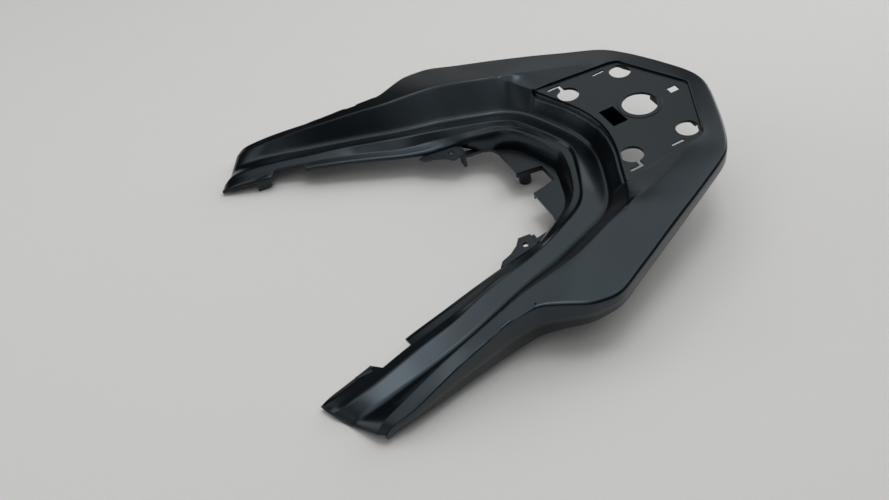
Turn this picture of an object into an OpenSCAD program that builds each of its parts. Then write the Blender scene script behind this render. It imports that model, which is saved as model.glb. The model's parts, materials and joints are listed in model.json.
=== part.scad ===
// Motorcycle rear trim cover: one moulded shell with two forward arms, a sunk
// channel round the seat opening and a flat deck pierced for a luggage rack.
// Deck frame: origin on the deck at the middle opening, X to the rear,
// Y to the side, Z square to the deck. The finished part is then turned to lie
// as it rests, on both arm tips and two screw posts, with its lowest point at Z = 0.

/* [Shell] */
// Wall thickness of the moulded shell
wall = 2.6; // [2:0.1:3.4]
// Rise of the deck from front to rear when the part rests, in degrees
deck_tilt = 10.4; // [4:0.2:14]
// Spacing of the loft sections along the arms
section_step = 12; // [9:1:16]

/* [Rounding] */
// Setback of the rounded outer crest
crest_round = 3; // [1.5:0.1:4]
// Setback of the rounded inner crest
inner_round = 1.8; // [1:0.1:2.4]
// Setback of the hollow at the foot of the channel wall
valley_round = 5; // [3:0.5:7]
// Setback of the rounded channel rim
rim_round = 4; // [2:0.1:5]

/* [Deck] */
// Thickness of the deck plate
deck_t = 3; // [2.4:0.1:4]
// Depth of the deck below the band around it
deck_sink = 2; // [1.2:0.1:2.6]
// Diameter of the four rack bolt openings
rack_hole_d = 20; // [14:0.5:22]
// Distance between the front and rear rack openings
rack_pitch_x = 56; // [48:0.5:58]
// Distance between the left and right rack openings
rack_pitch_y = 102; // [96:1:104]
// Distance of the front rack openings ahead of the middle opening
rack_front = 42.9; // [40:0.1:43]
// Diameter of the middle opening
middle_hole_d = 31.6; // [24:0.2:34]
// Width of the stepped ring round the middle opening
ring_w = 4; // [2.5:0.5:5]
// Height of the stepped ring
ring_h = 0.6; // [0.4:0.1:1]
// Side of the square pocket ahead of the middle opening, along the part
pocket_l = 14.5; // [10:0.5:15]
// Side of the square pocket across the part
pocket_w = 24; // [16:1:30]
// Depth of the pocket
pocket_depth = 26; // [14:1:34]

/* [Lugs] */
// Diameter of the screw hole in each ear
ear_hole_d = 5; // [4:0.1:6]
// Thickness of the ears and of the lower plate
lug_t = 2.6; // [2:0.1:3.4]
// Outer diameter of the screw posts under the lower plate
post_d = 12; // [10:0.5:14]
// Diameter of the screw hole in each post
post_hole_d = 4.2; // [3:0.1:5.4]
// Depth of the screw hole in each post
post_hole_depth = 18; // [10:1:22]
// Thickness of the ribs under the deck
rib_t = 2; // [1.4:0.1:2.6]

/* [Hidden] */
$fn = 64;
plastic = [0.16, 0.18, 0.21];

// Guide curves of the left half, each through the same sections, from the arm
// tip to the centre line. Section 0 is the end edge of the arm, 9 and 10 are the
// shoulder, 13 the end of the inner crest, 14 and 15 the front corner of the deck,
// 17 and 18 the rear corner of the outline.

// Outer crest of the arm, then the outer edge of the band round the deck
outer_crest = [
    [-331, 181.5, -9.5], [-326, 180.3, -6], [-309, 178.3, -3.8], [-287, 172.5, -0.7],
    [-262, 165.3, 1.9], [-238, 160, 5], [-216, 154.8, 6.8], [-196, 153.8, 7.2],
    [-176, 162, 5.9], [-156, 171, 3.3], [-138, 172.3, 1.2], [-106, 158.4, 0.6],
    [-72, 141.5, 1], [-52, 131.5, 0.7], [-36, 123.5, 0.3], [-33, 122, 0.2],
    [-8, 109, -0.9], [21, 92.7, -1.3], [31.5, 80.5, -1.6], [52, 41, -0.4], [66, 0, 0]];
// Inner crest, then the edge of the band's floor under the front of the deck
inner_crest = [
    [-336.5, 177, -10.5], [-331.5, 174.5, -6.3], [-316, 169.8, -2.8], [-292, 162.7, 0.9],
    [-266, 155.2, 4], [-241, 148.6, 5.8], [-217, 142.4, 7.6], [-195, 136.4, 8.7],
    [-172, 133.2, 9.6], [-150, 129.6, 10.2], [-129, 122.8, 10.4], [-108, 114.2, 9.8],
    [-88, 106.6, 8.7], [-74.3, 101.9, 7.7], [-66.3, 79, 3], [-63.5, 73.7, -3],
    [-54.5, 59.5, -3], [-47.5, 43.5, -3], [-42.5, 29, -3], [-39.3, 15, -3], [-37.8, 0, -3]];
// Foot of the channel wall, the lowest line of the sunk channel
valley = [
    [-352.5, 153.5, -16], [-346, 157.5, -11.5], [-328, 158, -9.6], [-300, 153, -10.7],
    [-272, 145.8, -12.8], [-245, 137.7, -14], [-219, 128.7, -14.5], [-195, 119.8, -15.3],
    [-172, 112.5, -15.7], [-151, 107, -16], [-131, 99.3, -16.4], [-112, 91.6, -17.2],
    [-95, 84.3, -18], [-85, 76.8, -18.4], [-78, 68.5, -19], [-76, 65.5, -19.3],
    [-69.5, 54, -20.3], [-64, 41.5, -21.3], [-58.5, 28, -22.1], [-54.5, 14.5, -23], [-52.5, 0, -23.8]];
// Rim between the channel and the flange inside it
rim = [
    [-358, 145.5, -11.5], [-351, 147, -7], [-333, 144.5, -5.2], [-304, 137.3, -5],
    [-276, 129, -6], [-248, 121.4, -7], [-220, 110.3, -7.4], [-195, 102.3, -8.8],
    [-172, 96, -10.4], [-150, 88.8, -11.2], [-130, 80.4, -11], [-112, 72.2, -10.6],
    [-102, 65, -9.8], [-97.3, 59, -9], [-93, 51, -8.8], [-91.7, 48.3, -8.8],
    [-87.7, 40.5, -9.1], [-82.5, 30, -9.6], [-78.2, 20, -10.1], [-74.3, 10, -10.6], [-72.4, 0, -10.8]];
// Free edge of the flange, then the foot of the wall that stands on the lower plate
flange_edge = [
    [-363, 135, -9.5], [-357, 132.8, -8.2], [-340, 128.6, -8], [-310, 120.5, -8],
    [-280, 113, -8.3], [-250, 104, -11.3], [-221, 94, -15.5], [-195, 85.3, -19.8],
    [-172, 79, -22.3], [-152, 74.6, -23.6], [-131, 60, -29], [-113, 50.5, -29],
    [-103.8, 40.5, -29], [-100.5, 33.5, -29], [-97.8, 26, -29], [-97.2, 24, -29],
    [-95.6, 19, -29], [-93.8, 13.5, -29], [-92.6, 9.5, -29], [-91.4, 5, -29], [-90.5, 0, -29]];
// Height of the outer wall below the outer crest
skirt_h = [6, 8.5, 10, 17.5, 25, 30.5, 36, 35, 28, 21, 16, 13.5, 14, 13.5, 12.5, 12.5, 12, 12, 12, 12, 12];
// Root of the flange, at the foot of the slope inside the rim
root = [
    [-360.5, 140.5, -11.3], [-353, 142, -8], [-335, 138.5, -6.3], [-304.5, 129.8, -6.5],
    [-276, 121, -7.8], [-248, 112.6, -10.8], [-221, 104, -14], [-196, 95, -17],
    [-172, 91, -18.4], [-150, 83.2, -16.8], [-130, 75.6, -15.2], [-113, 67.8, -13.9],
    [-103, 61, -13.9], [-97, 54.6, -14], [-92, 46.6, -14], [-90.7, 44, -14],
    [-87.5, 37, -14], [-83.3, 27, -14], [-79.8, 18.3, -14], [-76.6, 9.5, -14], [-75, 0, -14]];
// Inner edge of the flange's flat strip where a wall drops from it to the lower plate, sections 9 to 20
strip_rear = [
    [-151, 78.2, -19.8], [-132, 69.8, -16.4], [-116, 62.5, -14.3], [-108.5, 58, -13.6],
    [-102.8, 52.2, -13.2], [-98, 45.3, -13.2], [-96.8, 43.2, -13.2], [-93.3, 36, -13.2],
    [-89, 26, -13.2], [-86.3, 17.8, -13.2], [-84, 9, -13.2], [-82.5, 0, -13.2]];
// Ridge on the band from the end of the inner crest to the rear, sections 13 to 17
ridge_rear = [[-71.5, 104.5, 7.2], [-54.8, 95.9, 5], [-50.2, 94.2, 4.7], [-29.6, 86.2, 3.5], [-4, 74.8, 1.7]];
// Sections from which the band is stepped down to carry the deck, and the lip is drawn
first_deck_section = 15;

// Outline of the deck: front corner, rear corner and rear apex, with the curved front edge
deck_corner = [-64.6, 75.2];
deck_rear = [17.5, 66.5];
deck_apex = [50.5, 0];
deck_front = [[-57.7, 58.5], [-53.2, 48.3], [-48.8, 38.1], [-45.1, 27.1], [-42.3, 14.5], [-41, 0]];

last = len(outer_crest) - 1;
function mirrored(p) = [p.x, -p.y, p.z];
function both_sides(c) = concat(c, [for (i = [last - 1:-1:0]) mirrored(c[i])]);
function lerp(a, b, f) = a + (b - a) * f;
function unit(v) = v / max(norm(v), 1e-6);

// Where a section crosses the edge of the deck, and the inner foot of that step;
// ahead of the deck both lie on the slope of the band, close to the end of the inner crest
function slope_share(i) = i < 12 ? 0.62 : i < 13 ? 0.75 : 0.93;
function deck_edge(i) =
    let (c = outer_crest[i], b = inner_crest[i])
    i < first_deck_section ? lerp(c, b, slope_share(i))
    : let (g = deck_hit([c.x, c.y], [b.x, b.y])) [g.x, g.y, deck_sink];
function deck_foot(i) =
    i < first_deck_section ? lerp(outer_crest[i], inner_crest[i], (1 + slope_share(i)) / 2)
    : let (e = deck_edge(i)) [e.x, e.y, -lip_drop];
function ridge(i) =
    i < 13 ? lerp(outer_crest[i], inner_crest[i], 0.3 + 0.6 * max(0, i - 11.5))
    : i < 18 ? ridge_rear[i - 13]
    : lerp(outer_crest[i], deck_edge(i), 0.7);
// Nearest crossing of the line from outside to inside with the deck outline, held 1 mm inside it
function deck_hit(a, b) =
    let (n = len(deck_half) - 1,
         hits = [for (k = [0:n - 1])
            let (f = crossing(a, b, deck_half[k], deck_half[k + 1]))
            if (f > 0 && f < 1) f])
    len(hits) > 0 ? lerp(a, b, min(hits) + 1.2 / norm(b - a)) : lerp(a, b, 0.9);
function crossing(a, b, c, d) =
    let (r = b - a, s = d - c, den = r.x * s.y - r.y * s.x)
    abs(den) < 1e-6 ? -1
    : let (q = c - a, f = (q.x * s.y - q.y * s.x) / den, g = (q.x * r.y - q.y * r.x) / den)
      g >= -0.001 && g <= 1.001 ? f : -1;
deck_half = [deck_corner, lerp(deck_corner, deck_rear, 0.93), deck_rear + [2.2, -2.6],
             lerp(deck_rear, deck_apex, 0.12), lerp(deck_rear, deck_apex, 0.96), [deck_apex.x - 0.6, 0]];
// Left half of the outline from the front middle round to the rear middle
deck_side = concat([for (i = [len(deck_front) - 1:-1:0]) deck_front[i]], deck_half);
lip_drop = deck_t - 0.6;

// Edge of the small lip below the front of the deck, or a point high on the channel wall
function lip(i) =
    let (b = inner_crest[i], v = valley[i])
    i < first_deck_section ? lerp(b, v, 0.14)
    : let (d = unit([v.x - b.x, v.y - b.y])) [b.x + d.x * lip_w(i), b.y + d.y * lip_w(i), -lip_drop - 0.3];
function lip_w(i) = 5.5 + 2.2 * (i - first_deck_section) / (last - first_deck_section);

function strip(i) = i < 9 ? lerp(root[i], flange_edge[i], 0.5) : strip_rear[i - 9];

crest_l = both_sides(outer_crest);
skirt_l = both_sides([for (i = [0:last]) outer_crest[i] - [0, 0, skirt_h[i]]]);
ridge_l = both_sides([for (i = [0:last]) ridge(i)]);
edge_l = both_sides([for (i = [0:last]) deck_edge(i)]);
foot_l = both_sides([for (i = [0:last]) deck_foot(i)]);
inner_l = both_sides(inner_crest);
lip_l = both_sides([for (i = [0:last]) lip(i)]);
valley_l = both_sides(valley);
rim_l = both_sides(rim);
root_l = both_sides(root);
strip_l = both_sides([for (i = [0:last]) strip(i)]);
flange_l = both_sides(flange_edge);

// Running length at each section, from the mean of four guides
function run(i, s = 0, k = 0) = k == i ? s : run(i, s + gap(k), k + 1);
function gap(k) = (norm(crest_l[k + 1] - crest_l[k]) + norm(inner_l[k + 1] - inner_l[k])
    + norm(valley_l[k + 1] - valley_l[k]) + norm(flange_l[k + 1] - flange_l[k])) / 4;
rows = len(crest_l);
knots = [for (i = [0:rows - 1]) run(i)];

// Slopes of a curve that never overshoots its points: harmonic mean of the slopes either side
function slope1(a, b, ha, hb) = a * b <= 0 ? 0 : 3 * (ha + hb) / ((2 * hb + ha) / a + (hb + 2 * ha) / b);
function slopes(c) = [for (i = [0:rows - 1])
    i == 0 ? (c[1] - c[0]) / (knots[1] - knots[0])
    : i == rows - 1 ? (c[i] - c[i - 1]) / (knots[i] - knots[i - 1])
    : let (ha = knots[i] - knots[i - 1], hb = knots[i + 1] - knots[i],
           a = (c[i] - c[i - 1]) / ha, b = (c[i + 1] - c[i]) / hb)
      [for (k = [0:2]) slope1(a[k], b[k], ha, hb)]];
function hermite(p, q, m, n, h, f) =
    p * (2 * f ^ 3 - 3 * f ^ 2 + 1) + m * (f ^ 3 - 2 * f ^ 2 + f) * h
    + q * (3 * f ^ 2 - 2 * f ^ 3) + n * (f ^ 3 - f ^ 2) * h;
function along(c) =
    let (m = slopes(c))
    [for (i = [0:rows - 2])
        let (h = knots[i + 1] - knots[i], n = max(1, round(h / section_step)))
        for (k = [0:n - (i == rows - 2 ? 0 : 1)]) hermite(c[i], c[i + 1], m[i], m[i + 1], h, k / n)];

// Corner of a section rounded by a short parabola with the given setback and number of points
function rounded(a, p, b, set, n) =
    let (d = min(set, 0.45 * norm(a - p), 0.45 * norm(b - p)),
         s = p + unit(a - p) * d, e = p + unit(b - p) * d)
    [for (k = [0:n - 1]) let (f = k / (n - 1)) lerp(lerp(s, p, f), lerp(p, e, f), f)];

skirt_c = along(skirt_l);
crest_c = along(crest_l);
ridge_c = along(ridge_l);
edge_c = along(edge_l);
foot_c = along(foot_l);
inner_c = along(inner_l);
lip_c = along(lip_l);
valley_c = along(valley_l);
rim_c = along(rim_l);
root_c = along(root_l);
strip_c = along(strip_l);
flange_c = along(flange_l);
n_rows = len(crest_c);

function section(i) = concat(
    [skirt_c[i]],
    rounded(skirt_c[i], crest_c[i], ridge_c[i], crest_round, 4),
    [ridge_c[i], edge_c[i], foot_c[i]],
    rounded(foot_c[i], inner_c[i], lip_c[i], inner_round, 3),
    [lip_c[i]],
    rounded(lip_c[i], valley_c[i], rim_c[i], valley_round, 4),
    rounded(valley_c[i], rim_c[i], root_c[i], rim_round, 3),
    rounded(rim_c[i], root_c[i], strip_c[i], 0.8, 2),
    rounded(root_c[i], strip_c[i], flange_c[i], 1.6, 3),
    [flange_c[i]]);
top_skin = [for (i = [0:n_rows - 1]) section(i)];
n_cols = len(top_skin[0]);
function normal(i, j) =
    let (u = top_skin[min(i + 1, n_rows - 1)][j] - top_skin[max(i - 1, 0)][j],
         v = top_skin[i][min(j + 1, n_cols - 1)] - top_skin[i][max(j - 1, 0)])
    unit(cross(u, v));
low_skin = [for (i = [0:n_rows - 1]) [for (j = [0:n_cols - 1]) top_skin[i][j] + wall * normal(i, j)]];

// The loft: both skins, their two long edges and the two arm ends
module loft() {
    size = n_rows * n_cols;
    points = concat([for (r = top_skin) each r], [for (r = low_skin) each r]);
    function at(s, i, j) = s * size + i * n_cols + j;
    top = [for (i = [0:n_rows - 2]) for (j = [0:n_cols - 2]) each [
        [at(0, i, j), at(0, i, j + 1), at(0, i + 1, j)],
        [at(0, i, j + 1), at(0, i + 1, j + 1), at(0, i + 1, j)]]];
    low = [for (i = [0:n_rows - 2]) for (j = [0:n_cols - 2]) each [
        [at(1, i, j), at(1, i + 1, j), at(1, i, j + 1)],
        [at(1, i, j + 1), at(1, i + 1, j), at(1, i + 1, j + 1)]]];
    outer = [for (i = [0:n_rows - 2]) each [
        [at(0, i, 0), at(0, i + 1, 0), at(1, i, 0)],
        [at(1, i, 0), at(0, i + 1, 0), at(1, i + 1, 0)]]];
    inner = [for (i = [0:n_rows - 2]) let (j = n_cols - 1) each [
        [at(0, i, j), at(1, i, j), at(0, i + 1, j)],
        [at(1, i, j), at(1, i + 1, j), at(0, i + 1, j)]]];
    ends = [for (j = [0:n_cols - 2]) let (m = n_rows - 1) each [
        [at(0, 0, j), at(1, 0, j), at(0, 0, j + 1)],
        [at(1, 0, j), at(1, 0, j + 1), at(0, 0, j + 1)],
        [at(0, m, j), at(0, m, j + 1), at(1, m, j)],
        [at(1, m, j), at(0, m, j + 1), at(1, m, j + 1)]]];
    polyhedron(points, [for (f = concat(top, low, outer, inner, ends)) [f[2], f[1], f[0]]], convexity = 8);
}

// Deck outline as one closed polygon, grown outwards by a distance
deck_outline = concat(deck_side, [for (i = [len(deck_side) - 2:-1:0]) [deck_side[i].x, -deck_side[i].y]]);
function grown(p, d) = [for (i = [0:len(p) - 1])
    let (n = len(p), a = unit(p[i] - p[(i + n - 1) % n]), b = unit(p[(i + 1) % n] - p[i]),
         m = unit([-a.y - b.y, a.x + b.x]), c = max(m * [-a.y, a.x], 0.5))
    p[i] + m * d / c];
module both() {
    children();
    mirror([0, 1, 0]) children();
}
module prism(outline, z0, z1) {
    translate([0, 0, z0]) linear_extrude(height = z1 - z0, convexity = 6) polygon(outline);
}

// Thin deck plate with the stepped ring round its middle opening
module deck_plate() {
    prism(grown(deck_outline, 0.4), -deck_t, 0);
    translate([0, 0, -deck_t]) cylinder(h = deck_t + ring_h, d = middle_hole_d + 2 * ring_w);
}
// Openings through the deck: rack bolts, middle, slots, keyways and the rear window
module deck_openings() {
    down = -deck_t - 12;
    for (x = [-rack_front, rack_pitch_x - rack_front]) both() {
        translate([x, rack_pitch_y / 2, -deck_t - 1]) cylinder(h = 10, d = rack_hole_d);
        translate([x, rack_pitch_y / 2, down]) cylinder(h = 12, d = rack_hole_d + 1.2);
    }
    translate([0, 0, down]) cylinder(h = 20, d = middle_hole_d);
    both() {
        translate([-10.5, rack_pitch_y / 2 + 9.4, down]) cube([12.5, slot_w, 20]);
        translate([-55.5, rack_pitch_y / 2 + 14.4, down]) cube([13.5, 2 * slot_w, 20]);
        translate([-45.5, rack_pitch_y / 2 + 8, down]) cube([3.5, 7, 20]);
    }
    translate([30.6, -4, down]) cube([9.4, 8, 20]);
}
// Blind pocket below the square opening
pocket_x = -35.1;
pocket_wall = 2;
module pocket_box() {
    translate([pocket_x - pocket_wall, -pocket_w / 2 - pocket_wall, -pocket_depth - pocket_wall])
        cube([pocket_l + 2 * pocket_wall, pocket_w + 2 * pocket_wall, pocket_depth + pocket_wall - 0.5]);
}
module pocket_hollow() {
    translate([pocket_x, -pocket_w / 2, -pocket_depth]) cube([pocket_l, pocket_w, pocket_depth + 10]);
}
// Stiffening ribs below the deck; the rear one is deeper
module deck_ribs() {
    both() translate([long_rib_at.x, long_rib_at.y, -deck_t - rib_h]) cube([long_rib_l, rib_t, rib_h + 1]);
    translate([pocket_x + pocket_l + 0.4, -front_rib_half, -deck_t - rib_h])
        cube([rib_t, 2 * front_rib_half, rib_h + 1]);
    translate([rear_rib_x, -rear_rib_half, rear_rib_z]) cube([rib_t, 2 * rear_rib_half, rear_rib_h]);
}
rib_h = 7;
long_rib_at = [-44, 28];
long_rib_l = 78;
front_rib_half = 66;
rear_rib_x = 25;
rear_rib_z = -19.5;
rear_rib_half = 46;
rear_rib_h = 17.5;
slot_w = 1.6;

// Lower plate across the front of the tail, with its notch and folded edges
plate_z = -29.3;
plate_front = -121;
notch_rear = -97;
notch_half = [15.6, 11];
plate_side = [[-121, 48], [-122.5, 54.5], [-126, 59], [-131, 61.5], [-148, 64], [-148, 72],
              [-130, 66], [-112, 57], [-100, 45], [-94, 30], [-89, 14], [-87, 0]];
plate_outline = concat(plate_side,
    [for (i = [len(plate_side) - 2:-1:0]) [plate_side[i].x, -plate_side[i].y]]);
function notch(d) = [[plate_front - 6, notch_half[0] + d], [notch_rear + d, notch_half[1] + d],
                     [notch_rear + d, -notch_half[1] - d], [plate_front - 6, -notch_half[0] - d]];
module lower_plate() {
    difference() {
        prism(plate_outline, plate_z - lug_t, plate_z);
        prism(notch(0), plate_z - 10, plate_z + 10);
    }
    difference() {
        intersection() {
            prism(notch(2), plate_z - 6, plate_z - 0.5);
            translate([plate_front, -40, plate_z - 10]) cube([60, 80, 20]);
        }
        prism(notch(0), plate_z - 10, plate_z + 10);
    }
}
// Ear that carries a fixing screw, at the inner edge of each arm
ear_z = -23;
ear_hole = [-159.4, 70.2];
ear_outline = [[-188, 80], [-184, 75.5], [-175, 72.5], [-166.7, 67.2], [-161, 60.4], [-150.4, 61.7],
               [-150.4, 82], [-170, 86]];
module ear() {
    difference() {
        prism(ear_outline, ear_z - lug_t, ear_z);
        translate([ear_hole.x, ear_hole.y, ear_z - 10]) cylinder(h = 20, d = ear_hole_d);
    }
    translate(ear_web_at) cube([lug_t, ear_web_w, ear_z - ear_web_at.z]);
}
// Web that stiffens the rear end of the ear
ear_web_at = [-150.4, 64, -42];
ear_web_w = 9;
// Space between the two flange tabs of each arm
tab_gap = [[-318.6, 127.3], [-324, 104], [-283, 100], [-288, 118.5], [-290, 121.8]];
// Small hook below the front tab
module hook() {
    translate(hook_at) difference() {
        cube(hook_size);
        translate([hook_leg, -1, -1]) cube([hook_size.x - 2 * hook_leg, hook_size.y + 2, hook_gap_h + 1]);
    }
}
hook_at = [-332, 126.5, -20];
hook_size = [13, 2.4, 13];
hook_leg = 4;
hook_gap_h = 5;
// Screw post below the lower plate, down to the plane the part rests on
post_at = [-105, 33];
module post() {
    translate([post_at.x, post_at.y, post_low]) difference() {
        cylinder(h = plate_z - post_low - 1, d = post_d);
        translate([0, 0, -1]) cylinder(h = post_hole_depth + 1, d = post_hole_d);
    }
}
// Width of the shell's shoulder that carries the deck plate
deck_seat = 7;
// Reach of the cuts through the shell, above and below the deck
cut_reach = 30;
function rest_z(p) = p.x * sin(deck_tilt) + p.z * cos(deck_tilt);
function rest_x(p) = p.x * cos(deck_tilt) - p.z * sin(deck_tilt);
skins = concat([for (r = top_skin) each r], [for (r = low_skin) each r]);
rest_low = min([for (p = skins) rest_z(p)]);
rest_mid = (min([for (p = skins) rest_x(p)]) + max([for (p = skins) rest_x(p)])) / 2;
post_low = (rest_low - (post_at.x - post_d / 2) * sin(deck_tilt)) / cos(deck_tilt);

module trim_cover() {
    color(plastic)
    translate([-rest_mid, 0, -rest_low]) rotate([0, -deck_tilt, 0])
    difference() {
        union() {
            difference() {
                loft();
                prism(deck_outline, -lip_drop + 0.7, cut_reach);
                prism(grown(deck_outline, -deck_seat), -cut_reach, cut_reach);
                both() prism(tab_gap, -cut_reach, 3);
            }
            deck_plate();
            pocket_box();
            deck_ribs();
            lower_plate();
            both() {
                ear();
                hook();
                post();
            }
        }
        deck_openings();
        pocket_hollow();
    }
}

trim_cover();
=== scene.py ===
"""Motorcycle rear trim cover: one satin blue-black moulding on a plain pale floor.

The moulding is worked out in its deck frame, in millimetres: the origin lies on the
deck at the middle opening, X runs to the rear, Y to the side and Z square to the deck.
to_row() then carries every point into the row frame of the CAD model, in metres.
"""
import json
import math

import bpy
import numpy as np
from mathutils import Matrix, Vector, geometry


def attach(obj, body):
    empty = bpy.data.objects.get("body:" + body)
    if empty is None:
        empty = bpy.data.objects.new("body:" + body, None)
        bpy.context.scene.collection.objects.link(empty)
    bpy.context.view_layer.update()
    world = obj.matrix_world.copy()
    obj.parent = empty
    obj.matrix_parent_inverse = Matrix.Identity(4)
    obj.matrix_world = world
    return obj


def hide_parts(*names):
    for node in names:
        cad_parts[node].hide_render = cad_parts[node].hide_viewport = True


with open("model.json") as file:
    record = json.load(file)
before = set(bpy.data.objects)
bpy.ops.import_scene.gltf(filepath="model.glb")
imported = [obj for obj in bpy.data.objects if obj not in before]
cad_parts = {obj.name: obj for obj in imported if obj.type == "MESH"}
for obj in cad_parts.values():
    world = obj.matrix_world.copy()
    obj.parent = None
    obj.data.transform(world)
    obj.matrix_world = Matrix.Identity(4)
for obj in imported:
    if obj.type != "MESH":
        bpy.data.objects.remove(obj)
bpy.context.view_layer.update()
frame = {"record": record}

# The two frames

DECK_TILT = 10.4
TILT = math.radians(DECK_TILT)
SIN, COS = math.sin(TILT), math.cos(TILT)
mounts = {m["name"]: m for m in frame["record"]["mounts"]}
RING_MIDDLE = mounts["middle_opening"]["pos_m"]
RING_MIDDLE_Z = -1.2


def to_row(points):
    """Deck frame in mm to row frame in metres: turned by the tilt about Y, then shifted."""
    p = np.asarray(points, float) / 1000.0
    x = p[..., 0] * COS - p[..., 2] * SIN
    z = p[..., 0] * SIN + p[..., 2] * COS
    shift_x = RING_MIDDLE[0] + RING_MIDDLE_Z / 1000 * SIN
    shift_z = RING_MIDDLE[2] - RING_MIDDLE_Z / 1000 * COS
    return np.stack([x + shift_x, p[..., 1], z + shift_z], axis=-1)


# Guide curves of the shell

OUTER_CREST = [
    [-331, 181.5, -9.5], [-326, 180.3, -6], [-309, 178.3, -3.8], [-287, 172.5, -0.7],
    [-262, 165.3, 1.9], [-238, 160, 5], [-216, 154.8, 6.8], [-196, 153.8, 7.2],
    [-176, 162, 5.9], [-156, 171, 3.3], [-138, 172.3, 1.2], [-106, 158.4, 0.6],
    [-72, 141.5, 1], [-52, 131.5, 0.7], [-36, 123.5, 0.3], [-33, 122, 0.2],
    [-8, 109, -0.9], [21, 92.7, -1.3], [31.5, 80.5, -1.6], [52, 41, -0.4], [66, 0, 0]]
INNER_CREST = [
    [-336.5, 177, -10.5], [-331.5, 174.5, -6.3], [-316, 169.8, -2.8], [-292, 162.7, 0.9],
    [-266, 155.2, 4], [-241, 148.6, 5.8], [-217, 142.4, 7.6], [-195, 136.4, 8.7],
    [-172, 133.2, 9.6], [-150, 129.6, 10.2], [-129, 122.8, 10.4], [-108, 114.2, 9.8],
    [-88, 106.4, 8.2], [-80, 98, 2.9], [-68.5, 81, 1.3], [-65.3, 74.2, 1],
    [-54.5, 59.5, -3], [-47.5, 43.5, -3], [-42.5, 29, -3], [-39.3, 15, -3], [-37.8, 0, -3]]
VALLEY = [
    [-352.5, 153.5, -16], [-346, 157.5, -11.5], [-328, 158, -9.6], [-300, 153, -10.7],
    [-272, 145.8, -12.8], [-245, 137.7, -14], [-219, 128.7, -14.5], [-195, 119.8, -15.3],
    [-172, 112.5, -15.7], [-151, 107, -16], [-131, 99.3, -16.4], [-112, 91.6, -17.2],
    [-95, 84.3, -18], [-85, 76.8, -18.4], [-78, 68.5, -19], [-76, 65.5, -19.3],
    [-69.5, 54, -20.3], [-64, 41.5, -21.3], [-58.5, 28, -22.1], [-54.5, 14.5, -23], [-52.5, 0, -23.8]]
RIM = [
    [-358, 145.5, -11.5], [-351, 147, -7], [-333, 144.5, -5.2], [-304, 137.3, -5],
    [-276, 129, -6], [-248, 121.4, -7], [-220, 110.3, -7.4], [-195, 102.3, -8.8],
    [-172, 96, -10.4], [-150, 88.8, -11.2], [-130, 80.4, -11], [-112, 72.2, -10.6],
    [-102, 65, -9.8], [-97.3, 59, -9], [-93, 51, -8.8], [-91.7, 48.3, -8.8],
    [-87.7, 40.5, -9.1], [-82.5, 30, -9.6], [-78.2, 20, -10.1], [-74.3, 10, -10.6], [-72.4, 0, -10.8]]
FLANGE_EDGE = [
    [-363, 135, -9.5], [-357, 132.8, -8.2], [-340, 128.6, -8], [-310, 120.5, -8],
    [-280, 113, -8.3], [-250, 104, -11.3], [-221, 94, -15.5], [-195, 85.3, -19.8],
    [-172, 79, -22.3], [-152, 74.6, -23.6], [-131, 60, -29], [-113, 50.5, -29],
    [-103.8, 40.5, -29], [-100.5, 33.5, -29], [-97.8, 26, -29], [-97.2, 24, -29],
    [-95.6, 19, -29], [-93.8, 13.5, -29], [-92.6, 9.5, -29], [-91.4, 5, -29], [-90.5, 0, -29]]
SKIRT_H = [6, 8.5, 10, 17.5, 25, 30.5, 36, 35, 28, 21, 16, 13.5, 14, 13.5, 12.5, 12.5, 12, 12, 12, 12, 12]
ROOT = [
    [-360.5, 140.5, -11.3], [-353, 142, -8], [-335, 138.5, -6.3], [-304.5, 129.8, -6.5],
    [-276, 121, -7.8], [-248, 112.6, -10.8], [-221, 104, -14], [-196, 95, -17],
    [-172, 91, -18.4], [-150, 83.2, -16.8], [-130, 75.6, -15.2], [-113, 67.8, -13.9],
    [-103, 61, -13.9], [-97, 54.6, -14], [-92, 46.6, -14], [-90.7, 44, -14],
    [-87.5, 37, -14], [-83.3, 27, -14], [-79.8, 18.3, -14], [-76.6, 9.5, -14], [-75, 0, -14]]
STRIP_REAR = [
    [-151, 78.2, -19.8], [-132, 69.8, -16.4], [-116, 62.5, -14.3], [-108.5, 58, -13.6],
    [-102.8, 52.2, -13.2], [-98, 45.3, -13.2], [-96.8, 43.2, -13.2], [-93.3, 36, -13.2],
    [-89, 26, -13.2], [-86.3, 17.8, -13.2], [-84, 9, -13.2], [-82.5, 0, -13.2]]
STRIP = [[(a + b) / 2 for a, b in zip(p, q)] for p, q in zip(ROOT[:9], FLANGE_EDGE[:9])] + STRIP_REAR
RIDGE_REAR = [[-85, 107.2, 8.3], [-74.6, 101.6, 7.7], [-58, 96.6, 5.2], [-53, 95, 4.8], [-29.6, 86.2, 3.5],
              [-4, 74.8, 1.7]]
FIRST_DECK = 15

DECK_CORNER = np.array([-64.6, 75.2])
DECK_REAR = np.array([17.5, 66.5])
DECK_APEX = np.array([50.5, 0.0])
DECK_FRONT = np.array([[-57.7, 58.5], [-53.2, 48.3], [-48.8, 38.1], [-45.1, 27.1], [-42.3, 14.5], [-41, 0]])
DECK_SINK, DECK_T, LIP_DROP, WALL = 2.0, 3.0, 2.4, 2.6
LIP_Z, LIP_DRAFT, LIP_W = -5.0, 1.2, 2.8
ROW_STEP, SMOOTHING = 2.0, 4.0

# Roundings of the section: how far each starts from its corner, in mm
CREST_ROUND, RIDGE_ROUND, FOLD_ROUND, LIP_ROUND = 3.0, 2.5, 1.8, 1.1
VALLEY_ROUND, RIM_ROUND, ROOT_ROUND, STRIP_ROUND = 5.0, 1.6, 0.7, 1.2

# Where the flange is cut back between the arm's tabs: along X, and past this Y
TAB_GAP_X, TAB_GAP_Y = (-318, -288), 100
TAB_GAP_ROOT, TAB_GAP_FREE = 0.7, 1.4

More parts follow.
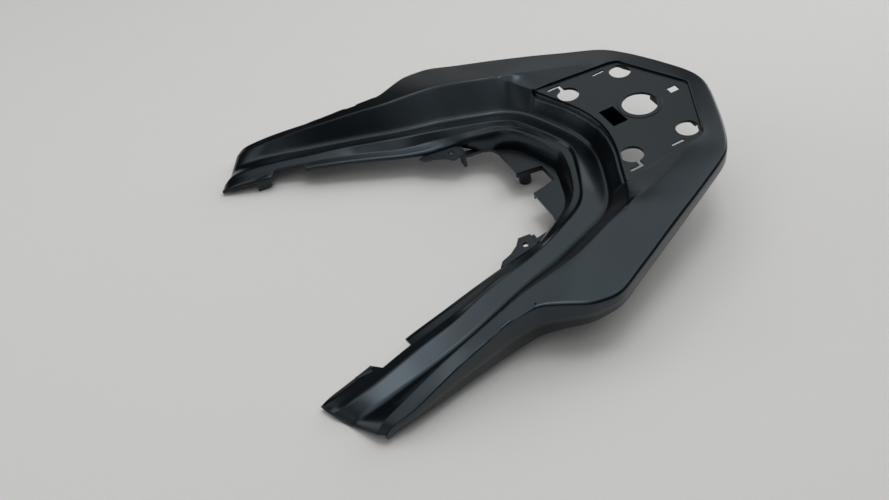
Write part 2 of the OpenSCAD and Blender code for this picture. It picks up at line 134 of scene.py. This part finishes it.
# The wall's upper lip lies at this share from inner crest to valley, and its guard line this far below, in mm
LIP_SHARE, LIP_GUARD = 0.14, 1.8

# Room that the ledge needs beside the deck's front before the skin may open under the deck, in mm
OPEN_ROOM = 4.5


def unit(v):
    """Each vector divided by its own length."""
    return v / np.maximum(np.linalg.norm(v, axis=-1, keepdims=True), 1e-9)


def mix(a, b, f):
    """The point that lies the share f of the way from a to b, row by row."""
    return a + (b - a) * np.asarray(f)[..., None]


def both_sides(curve):
    """The left half of a guide, then its mirror image back out to the right tip."""
    c = np.asarray(curve, float)
    other = c[-2::-1].copy()
    if c.ndim > 1:
        other[:, 1] *= -1
    return np.concatenate([c, other])


def even_cubic(knots, values, at):
    """Cubic through the values with the harmonic mean of the slopes either side, so it never overshoots."""
    h = np.diff(knots)[:, None]
    d = np.diff(values, axis=0) / h
    w1, w2 = 2 * h[1:] + h[:-1], h[1:] + 2 * h[:-1]
    with np.errstate(divide="ignore", invalid="ignore"):
        inner = (w1 + w2) / (w1 / d[:-1] + w2 / d[1:])
    inner = np.where(d[:-1] * d[1:] > 0, inner, 0)
    m = np.concatenate([d[:1], inner, d[-1:]])
    k = np.clip(np.searchsorted(knots, at, side="right") - 1, 0, len(knots) - 2)
    f = ((at - knots[k]) / (knots[k + 1] - knots[k]))[:, None]
    hk = h[k]
    return (values[k] * (2 * f**3 - 3 * f**2 + 1) + m[k] * hk * (f**3 - 2 * f**2 + f)
            + values[k + 1] * (3 * f**2 - 2 * f**3) + m[k + 1] * hk * (f**3 - f**2))


def smoothed(curve, sigma):
    """Gaussian mean along a curve, point-reflected past its ends so that the ends stay."""
    n = int(4 * sigma / ROW_STEP) + 1
    k = np.exp(-0.5 * (np.arange(-n, n + 1) * ROW_STEP / sigma) ** 2)
    k /= k.sum()
    padded = np.concatenate([2 * curve[0] - curve[n:0:-1], curve, 2 * curve[-1] - curve[-2:-n - 2:-1]])
    return np.stack([np.convolve(padded[:, i], k, mode="valid") for i in range(curve.shape[1])], axis=1)


guides = [both_sides(g) for g in (OUTER_CREST, INNER_CREST, VALLEY, RIM, ROOT, STRIP, FLANGE_EDGE)]
steps = np.mean([np.linalg.norm(np.diff(guides[i], axis=0), axis=1) for i in (0, 1, 2, 6)], axis=0)
knots = np.concatenate([[0], np.cumsum(steps)])
rows = np.linspace(0, knots[-1], int(knots[-1] / ROW_STEP) + 1)
# A row stands on each front corner of the deck, with one close by on either side
corner_knots = np.array([knots[FIRST_DECK], knots[-1 - FIRST_DECK]])
rows[[np.argmin(np.abs(rows - k)) for k in corner_knots]] = corner_knots
rows = np.sort(np.concatenate([rows, corner_knots + [-0.15, 0.15]]))
place = np.interp(rows, knots, np.arange(len(knots)))
section_no = np.minimum(place, 2 * (len(OUTER_CREST) - 1) - place)
crest, inner, valley, rim, root, strip, flange = [
    smoothed(even_cubic(knots, g, rows), SMOOTHING) for g in guides]
skirt_h = smoothed(even_cubic(knots, both_sides(SKIRT_H)[:, None], rows), SMOOTHING)[:, 0]
on_deck = (section_no > FIRST_DECK - 0.01).astype(float)


# Outline of the deck

deck_half = np.array([
    DECK_CORNER, mix(DECK_CORNER, DECK_REAR, 0.93), DECK_REAR + [2.2, -2.6],
    mix(DECK_REAR, DECK_APEX, 0.12), mix(DECK_REAR, DECK_APEX, 0.96), [DECK_APEX[0] - 0.6, 0]])
deck_side = np.concatenate([DECK_FRONT[::-1], deck_half])
deck_outline = np.concatenate([deck_side, deck_side[-2:0:-1] * [1, -1]])


def outline_hit(a, b):
    """Share of the way from a to b, both (n, 2), at which each row first meets the deck's side, or 9.

    The two lines of every row and every stretch of the side are crossed at once, by cross products.
    """
    side = np.concatenate([deck_half, deck_half[-2::-1] * [1, -1]])
    c, s = side[:-1], np.diff(side, axis=0)
    r = (b - a)[:, None, :]
    q = c[None] - a[:, None, :]
    den = r[..., 0] * s[None, :, 1] - r[..., 1] * s[None, :, 0]
    den = np.where(np.abs(den) < 1e-9, 1e-9, den)
    f = (q[..., 0] * s[None, :, 1] - q[..., 1] * s[None, :, 0]) / den
    g = (q[..., 0] * r[..., 1] - q[..., 1] * r[..., 0]) / den
    f = np.where((g >= -0.001) & (g <= 1.001) & (f > 0) & (f < 1), f, 9)
    return f.min(axis=1)


def rounded(a, p, b, setback, n):
    """Corner p between a and b, rounded by a parabola that starts the setback away on either leg."""
    shorter_leg = np.minimum(np.linalg.norm(a - p, axis=1), np.linalg.norm(b - p, axis=1))
    d = np.minimum(setback, 0.45 * shorter_leg)[:, None]
    start, end = p + unit(a - p) * d, p + unit(b - p) * d
    return [mix(mix(start, p, np.full(len(p), f)), mix(p, end, np.full(len(p), f)), np.full(len(p), f))
            for f in np.linspace(0, 1, n)]


def section_columns():
    """The shell's grid, row by column, from the skirt's lower edge over the crest to the flange's free edge.

    Each column is one line along the whole part, a mix of two guides or a point of a rounding between
    three of them, computed as whole arrays with no Python loop over vertices. Gives the grid, the column
    after which the skin is open under the deck, and the rows where it is open.
    """
    across = inner - crest
    hit = outline_hit(crest[:, :2], inner[:, :2])
    flat = np.zeros_like(crest)
    side_sign = np.sign(rows[-1] / 2 - rows + 0.01)
    corner_at = np.stack([np.full(len(rows), DECK_CORNER[0]), DECK_CORNER[1] * side_sign], axis=1)
    flat[:, :2] = np.where((hit < 1)[:, None], crest[:, :2] + across[:, :2] * hit[:, None], corner_at)

    ridge_at = mix(guides[0], guides[1], np.full(len(knots), 0.3))
    hits = np.minimum(outline_hit(guides[0][:, :2], guides[1][:, :2]), 1)
    side = guides[0] + (guides[1] - guides[0]) * hits[:, None]
    side[:, 2] = DECK_SINK
    ridge_at[18:21] = mix(guides[0], side, np.full(len(knots), 0.7))[18:21]
    ridge_at[12:18] = RIDGE_REAR
    ridge_at[21:] = ridge_at[19::-1] * [1, -1, 1]
    ridge = smoothed(even_cubic(knots, ridge_at, rows), SMOOTHING)

    def deck_or_slope(offset, z, share):
        """A point the offset past the deck's outline at height z, or that share from ridge to inner crest."""
        p = flat.copy()
        p[:, :2] += unit(across[:, :2]) * offset
        p[:, 2] = z
        return mix(mix(ridge, inner, share), p, on_deck)

    # How far from ridge to inner crest the upper edge of the facet lies, by section number
    share = np.interp(section_no, [11, 12, 13, 14, 15], [0.46, 0.2, 0.3, 0.7, 0.92])
    band_z = np.interp(section_no, [15, 15.7], [1.1, DECK_SINK])
    edge = [deck_or_slope(-0.7, band_z, share), deck_or_slope(-0.15, band_z - 0.15, share + 0.008),
            deck_or_slope(0.0, band_z - 0.7, share + 0.016), deck_or_slope(0.0, -LIP_DROP, share + 0.024)]
    toward = unit((valley - inner)[:, :2])
    front = np.concatenate([DECK_FRONT[::-1], [DECK_CORNER]])
    front_edge = inner.copy()
    front_edge[:, 0] = np.interp(np.abs(inner[:, 1]), front[:, 1], front[:, 0])
    front_edge[:, 2] = -LIP_DROP - 0.2
    under = front_edge.copy()
    under[:, :2] -= toward * 1.2
    fold = mix(inner, front_edge, on_deck)
    to_side = edge[3] - under
    room = np.linalg.norm(to_side[:, :2], axis=1)
    ledge_deck = edge[3] - unit(to_side) * np.minimum(1.2, 0.4 * room)[:, None]
    ledge = mix(mix(ridge, inner, share + 0.028), ledge_deck, on_deck)
    back_deck = under + unit(to_side) * np.minimum(0.8, 0.4 * room)[:, None]
    back = mix(mix(ridge, inner, (1 + share) / 2), back_deck, on_deck)
    foot_deck = front_edge.copy()
    foot_deck[:, :2] += toward * LIP_DRAFT
    foot_deck[:, 2] = LIP_Z
    lip_deck = foot_deck.copy()
    lip_deck[:, :2] += toward * LIP_W
    lip = mix(mix(inner, valley, np.full(len(rows), LIP_SHARE)), lip_deck, on_deck)
    foot = mix(mix(inner, lip, np.full(len(rows), 0.7)), foot_deck, on_deck)
    skirt = crest - np.stack([0 * skirt_h, 0 * skirt_h, skirt_h], axis=1)
    free = flange.copy()
    in_gap = (np.abs(free[:, 1]) > TAB_GAP_Y) & (free[:, 0] > TAB_GAP_X[0]) & (free[:, 0] < TAB_GAP_X[1])
    free[in_gap] = (root + unit(flange - root) * TAB_GAP_FREE)[in_gap]
    strip[in_gap] = (root + unit(flange - root) * TAB_GAP_ROOT)[in_gap]
    columns = [skirt, mix(skirt, crest, np.full(len(rows), 0.5))]
    columns += rounded(skirt, crest, ridge, CREST_ROUND, 8)
    columns += [mix(columns[-1], ridge, np.full(len(rows), f)) for f in (0.3, 0.6)]
    columns += rounded(crest, ridge, edge[0], RIDGE_ROUND, 4)
    columns += [mix(ridge, edge[0], np.full(len(rows), f)) for f in (0.6, 0.8)]
    columns += edge + [ledge]
    open_from = len(columns) - 1
    columns += [back]
    columns += rounded(back, fold, mix(lip, foot_deck, on_deck), FOLD_ROUND, 6)
    columns += [foot]
    columns += rounded(foot, lip, valley, LIP_ROUND, 5)
    columns += [lip + unit(valley - lip) * LIP_GUARD]
    columns += [mix(lip, valley, np.full(len(rows), 0.33)), mix(lip, valley, np.full(len(rows), 0.6))]
    columns += rounded(lip, valley, rim, VALLEY_ROUND, 9)
    columns += rounded(valley, rim, root, RIM_ROUND, 6)
    columns += rounded(rim, root, strip, ROOT_ROUND, 4)
    columns += rounded(root, strip, free, STRIP_ROUND, 5)
    columns += [free]
    opened = (on_deck > 0.99) & (room > OPEN_ROOM)
    return np.stack(columns, axis=1), open_from, opened


def new_piece(name, points, faces, replaces=False):
    """A piece of the moulding from points in mm and faces as index lists."""
    mesh = bpy.data.meshes.new(name)
    mesh.from_pydata(to_row(points), [], faces)
    mesh.polygons.foreach_set("use_smooth", np.ones(len(mesh.polygons), bool))
    mesh.set_sharp_from_angle(angle=math.radians(38))
    mesh.materials.append(plastic)
    piece = bpy.data.objects.new(name, mesh)
    bpy.context.scene.collection.objects.link(piece)
    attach(piece, "root")
    if replaces:
        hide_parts("trim_cover")
    return piece


# Material

plastic = bpy.data.materials.new("satin_moulded_plastic")
plastic.use_nodes = True
nt = plastic.node_tree
bsdf = nt.nodes["Principled BSDF"]
bsdf.inputs["Base Color"].default_value = (0.0025, 0.0035, 0.0045, 1)
bsdf.inputs["Roughness"].default_value = 0.28
bsdf.inputs["Specular IOR Level"].default_value = 0.5
bsdf.inputs["Specular Tint"].default_value = (0.80, 1.0, 1.14, 1)


# Shell

grid, open_from, opened = section_columns()
n_rows, n_cols = grid.shape[:2]
index = np.arange(n_rows * n_cols).reshape(n_rows, n_cols)
quads = np.stack([index[:-1, :-1], index[:-1, 1:], index[1:, 1:], index[1:, :-1]], axis=-1)
keep = np.ones((n_rows - 1, n_cols - 1), bool)
keep[:, open_from] = ~(opened[:-1] & opened[1:])
shell = new_piece("shell", grid.reshape(-1, 3), quads[keep].tolist(), replaces=True)
skin = shell.modifiers.new("wall", "SOLIDIFY")
skin.thickness = WALL / 1000
skin.offset = -1


# Flat parts

def grown(outline, by):
    """Outline moved outwards by a distance, mitred; the outline runs clockwise seen from above."""
    a, b = unit(outline - np.roll(outline, 1, axis=0)), unit(np.roll(outline, -1, axis=0) - outline)
    area = np.sum(outline[:, 0] * np.roll(outline[:, 1], -1) - np.roll(outline[:, 0], -1) * outline[:, 1])
    sign = 1 if area > 0 else -1
    m = unit(np.stack([a[:, 1] + b[:, 1], -a[:, 0] - b[:, 0]], axis=1)) * sign
    c = np.maximum(np.abs(np.sum(m * np.stack([a[:, 1], -a[:, 0]], axis=1), axis=1)), 0.5)
    return outline + m * (by / c)[:, None]


def circle(x, y, r, n=48):
    """n points at even angles round a middle."""
    t = np.arange(n) * 2 * math.pi / n
    return np.stack([x + r * np.cos(t), y + r * np.sin(t)], axis=1)


def rectangle(x0, y0, x1, y1):
    """The four corners between two opposite ones."""
    return np.array([[x0, y0], [x1, y0], [x1, y1], [x0, y1]], float)


def inside_odd(spots, loops):
    """True where a ray from the spot crosses the loops an odd number of times: in the plate, in no hole."""
    a = np.concatenate(loops)
    b = np.concatenate([np.roll(loop, -1, axis=0) for loop in loops])
    x, y = spots[:, None, 0], spots[:, None, 1]
    spans = (a[None, :, 1] > y) != (b[None, :, 1] > y)
    rise = np.where(np.abs(b[:, 1] - a[:, 1]) < 1e-12, 1e-12, b[:, 1] - a[:, 1])
    cross = a[None, :, 0] + (y - a[None, :, 1]) * (b[:, 0] - a[:, 0])[None] / rise[None]
    return (spans & (x < cross)).sum(axis=1) % 2 == 1


def round_hole(x, y, r, n=48, most=2.0):
    """Circle whose radius grows by the widening, up to a most."""
    return lambda by: circle(x, y, r + min(by, most), n)


def square_hole(x0, y0, x1, y1):
    """Rectangle whose four sides move out by the widening."""
    return lambda by: rectangle(x0 - by, y0 - by, x1 + by, y1 + by)


def plate(name, outer, holes, z_low, z_high, edge=0.35, flare=0.0):
    """Flat part between two heights: each outline carries a wall whose upper edge is rounded by a
    quarter circle, and the two faces between the outlines are triangulated. A hole is a function that
    gives its outline widened by a distance, and may flare out below."""
    turn = np.linspace(0, math.pi / 2, 4)
    rings = [(flare, z_low), (0.0, z_low + max(flare, 0.1))]
    rings += [(edge * (1 - math.cos(t)), z_high - edge + edge * math.sin(t)) for t in turn]
    points, faces, ends = [], [], []
    for k, shape in enumerate([outer] + list(holes)):
        loop = shape if k == 0 else shape(0.0)
        n, first = len(loop), sum(len(p) for p in points)
        area = np.sum(loop[:, 0] * np.roll(loop[:, 1], -1) - np.roll(loop[:, 0], -1) * loop[:, 1])
        turned = (area > 0) != (k == 0)
        for r, (widened, z) in enumerate(rings):
            moved = shape(widened) if k > 0 else grown(shape, 0.0 if r == 0 else -widened)
            moved = moved[::-1] if turned else moved
            points.append(np.concatenate([moved, np.full((n, 1), z)], axis=1))
        i = np.arange(n)
        j = (i + 1) % n
        for r in range(len(rings) - 1):
            lo, hi = first + r * n, first + (r + 1) * n
            faces += np.stack([lo + i, lo + j, hi + j, hi + i], axis=1).tolist()
        ends.append((first, first + (len(rings) - 1) * n, n))
    points = np.concatenate(points)
    for level, flip in ((0, True), (1, False)):
        ids = np.concatenate([np.arange(e[level], e[level] + e[2]) for e in ends])
        edges, at = [], 0
        for e in ends:
            edges += [(at + i, at + (i + 1) % e[2]) for i in range(e[2])]
            at += e[2]
        result = geometry.delaunay_2d_cdt([Vector(p) for p in points[ids, :2]], edges, [], 1, 1e-6)
        triangles = ids[np.array([[result[3][v][0] for v in f] for f in result[2]])]
        loops = [points[e[level]:e[level] + e[2], :2] for e in ends]
        triangles = triangles[inside_odd(points[triangles, :2].mean(axis=1), loops)]
        faces += (triangles[:, ::-1] if flip else triangles).tolist()
    flat = new_piece(name, points, faces)
    flat.modifiers.new("even_faces", "WEIGHTED_NORMAL").keep_sharp = True
    return flat


# Heights of the flat parts, lower and upper, and the places that are used more than once, in mm
LOWER_PLATE_Z, NOTCH_FOLD_Z = (-31.9, -29.3), (-35.3, -30.0)
EAR_Z, EAR_WEB_Z, HOOK_Z = (-25.6, -23), (-42, -23), (-20, -7)
RIB_Z, REAR_RIB_Z, REAR_RIB_DEEP_Z = (-10, -2), (-8, -2), (-19.5, -2)
POST_Z, POST_AT, POST_R, POST_BORE_R = (-60.7, -30), (-105, 33), 6, 2.1
EAR_HOLE_AT, EAR_HOLE_R = (-159.4, 70.2), 2.5
POCKET, POCKET_WALL = (-35.1, -12, -20.6, 12), (-37.1, -14, -18.6, 14)
POCKET_Z, POCKET_FLOOR_Z = (-28, -1), (-28, -26)
RACK_R, RACK_FRONT, RACK_PITCH_X, RACK_HALF_Y = 10.0, -42.9, 56.0, 51.0
MIDDLE_R, RING_W, RING_H = 15.8, 4.0, 0.6
SLOT_Y, SLOT_HALF = 67.0, 1.6
THIN_SLOT_Y = (59.8, 62.6)
HOLE_FLARE = 1.4


def keyed_hole(side):
    """Front rack opening: a circle that opens through a short neck into a slot along the deck's side."""
    def widened(by):
        """Arc of the circle between the neck's two sides, then the slot's four corners, all moved out."""
        neck = np.array([-45.5 - by, -42.0 + by]) - RACK_FRONT
        r = RACK_R + min(by, 0.3)
        start, end = [math.atan2(math.sqrt(r * r - d * d), d) for d in neck]
        t = np.linspace(start, end + 2 * math.pi, 52)
        arc = np.stack([RACK_FRONT + r * np.cos(t), RACK_HALF_Y + r * np.sin(t)], axis=1)
        low, high = SLOT_Y - SLOT_HALF - by, SLOT_Y + SLOT_HALF + by
        slot = np.array([[-42 + by, high], [-55.5 - by, high], [-55.5 - by, low], [-45.5 - by, low]])
        return np.concatenate([arc, slot]) * [1, side]
    return widened


deck_holes = [round_hole(0, 0, MIDDLE_R, 72)]
for side in (1, -1):
    thin = sorted(side * y for y in THIN_SLOT_Y)
    rear_rack = round_hole(RACK_FRONT + RACK_PITCH_X, side * RACK_HALF_Y, RACK_R, 56, 0.5)
    deck_holes += [keyed_hole(side), rear_rack]
    deck_holes += [square_hole(-10.5, thin[0], 2, thin[1])]
deck_holes += [square_hole(30.6, -4, 40, 4), square_hole(*POCKET)]
plate("deck", deck_outline, deck_holes, -DECK_T, 0, 0.2, HOLE_FLARE)
ring_outer = circle(0, 0, MIDDLE_R + RING_W, 72)
plate("ring", ring_outer, [round_hole(0, 0, MIDDLE_R, 72)], -DECK_T + 0.1, RING_H, 0.35, HOLE_FLARE)

plate_side = np.array([[-121, 48], [-122.5, 54.5], [-126, 59], [-131, 61.5], [-148, 64], [-148, 72],
                       [-130, 66], [-112, 57], [-100, 45], [-94, 30], [-89, 14], [-87, 0]], float)
notch = np.array([[-121, 15.6], [-97, 11]], float)
left = np.concatenate([notch[::-1], plate_side])
lower = np.concatenate([left, left[-2::-1] * [1, -1]])
plate("lower_plate", lower, [], *LOWER_PLATE_Z)
fold = np.array([[-121, 17.6], [-121, 15.6], [-97, 11], [-97, -11],
                 [-121, -15.6], [-121, -17.6], [-95, -13], [-95, 13]], float)
plate("notch_fold", fold, [], *NOTCH_FOLD_Z)

EAR = np.array([[-188, 80], [-184, 75.5], [-175, 72.5], [-166.7, 67.2], [-161, 60.4], [-150.4, 61.7],
                [-150.4, 82], [-170, 86]], float)
for side, word in ((1, "right"), (-1, "left")):
    flip = np.array([1, side])
    ear_hole = round_hole(EAR_HOLE_AT[0], EAR_HOLE_AT[1] * side, EAR_HOLE_R, 28)
    plate("ear_" + word, EAR * flip, [ear_hole], *EAR_Z)
    plate("ear_web_" + word, rectangle(-150.4, 64, -147.8, 73) * flip, [], *EAR_WEB_Z)
    plate("hook_" + word, rectangle(-332, 126.5, -319, 128.9) * flip, [], *HOOK_Z)
    post_bore = round_hole(POST_AT[0], POST_AT[1] * side, POST_BORE_R, 24)
    plate("post_" + word, circle(POST_AT[0], POST_AT[1] * side, POST_R, 40), [post_bore], *POST_Z)
    plate("rib_long_" + word, rectangle(-44, 28, 34, 30) * flip, [], *RIB_Z)
plate("rib_front", rectangle(-20.2, -66, -18.2, 66), [], *RIB_Z)
plate("rib_rear", rectangle(25, -46, 27, 46), [], *REAR_RIB_Z)
plate("rib_rear_deep", rectangle(25, -20, 27, 20), [], *REAR_RIB_DEEP_Z)
plate("pocket_wall", rectangle(*POCKET_WALL), [square_hole(*POCKET)], *POCKET_Z)
plate("pocket_floor", rectangle(-36, -13, -19.6, 13), [], *POCKET_FLOOR_Z)

# Floor, light and camera

FLOOR_HALF = 4
floor_mesh = bpy.data.meshes.new("floor")
floor_corners = [(x * FLOOR_HALF, y * FLOOR_HALF, 0) for x, y in ((-1, -1), (1, -1), (1, 1), (-1, 1))]
floor_mesh.from_pydata(floor_corners, [], [(0, 1, 2, 3)])
floor = bpy.data.objects.new("floor", floor_mesh)
bpy.context.scene.collection.objects.link(floor)
floor_paint = bpy.data.materials.new("pale_floor")
floor_paint.use_nodes = True
floor_bsdf = floor_paint.node_tree.nodes["Principled BSDF"]
floor_bsdf.inputs["Base Color"].default_value = (0.80, 0.795, 0.78, 1)
floor_bsdf.inputs["Roughness"].default_value = 0.9
floor_mesh.materials.append(floor_paint)

world = bpy.data.worlds.new("studio")
bpy.context.scene.world = world
world.use_nodes = True
world.node_tree.nodes["Background"].inputs["Color"].default_value = (1.0, 1.0, 1.0, 1)
world.node_tree.nodes["Background"].inputs["Strength"].default_value = 0.01

# Each soft lamp: bearing and height angle in degrees, power in watts, diameter in metres
LAMP_AWAY = 2.0
LAMPS = {
    "overhead": (0, 90, 7.0, 0.7), "overhead_far": (160, 76, 0.6, 0.6),
    "front_high": (-115, 62, 3.9, 1.1), "near_high": (-70, 62, 0.6, 1.1),
    "right_high": (-25, 62, 2.8, 1.1), "tail_high": (20, 62, 3.0, 1.1),
    "rear_high": (65, 62, 1.6, 1.1), "far_high": (110, 62, 2.8, 1.1),
    "arm_high": (155, 62, 2.2, 1.1), "front_middle": (-160, 38, 1.2, 1.1),
    "near_middle": (-115, 38, 1.0, 1.1), "tail_middle": (20, 38, 2.4, 1.1),
    "rear_middle": (65, 38, 1.8, 1.1), "arm_middle": (155, 38, 0.8, 1.1),
    "front_low": (-160, 16, 1.3, 1.1), "tail_low": (20, 16, 7.5, 1.1),
    "rear_low": (65, 16, 1.0, 1.1), "arm_low": (155, 16, 5.0, 1.1)}


def soft_lamp(name, around, up, power, size):
    """Round soft lamp that faces the part from a bearing and a height angle, both in degrees."""
    lamp = bpy.data.lights.new(name, "AREA")
    lamp.shape = "DISK"
    lamp.size = size
    lamp.energy = power
    obj = bpy.data.objects.new(name, lamp)
    bpy.context.scene.collection.objects.link(obj)
    a, b = math.radians(around), math.radians(up)
    away = Vector((math.cos(a) * math.cos(b), math.sin(a) * math.cos(b), math.sin(b)))
    obj.location = away * LAMP_AWAY + Vector((0, 0, 0.05))
    obj.rotation_euler = away.to_track_quat("Z", "Y").to_euler()


for lamp_name, settings in LAMPS.items():
    soft_lamp(lamp_name, *settings)

FOCAL_PX, FRAME_W = 855.37, 889.0
SENSOR = 36.0
camera_data = bpy.data.cameras.new("camera")
camera_data.sensor_width = SENSOR
camera_data.lens = FOCAL_PX / FRAME_W * SENSOR
camera_data.clip_start, camera_data.clip_end = 0.01, 20
camera = bpy.data.objects.new("camera", camera_data)
bpy.context.scene.collection.objects.link(camera)
CAMERA_AT = Vector((-0.29186, -0.50825, 0.50178))
CAMERA_RIGHT, CAMERA_FORWARD = Vector((0.90181, -0.43213, -0.00049)), Vector((0.31665, 0.6616, -0.67972))
right, forward = CAMERA_RIGHT.normalized(), CAMERA_FORWARD.normalized()
up = right.cross(forward).normalized()
turn = Matrix((right, up, -forward)).transposed()
camera.matrix_world = Matrix.Translation(CAMERA_AT) @ turn.to_4x4()
bpy.context.scene.camera = camera
bpy.context.scene.view_settings.view_transform = "Standard"
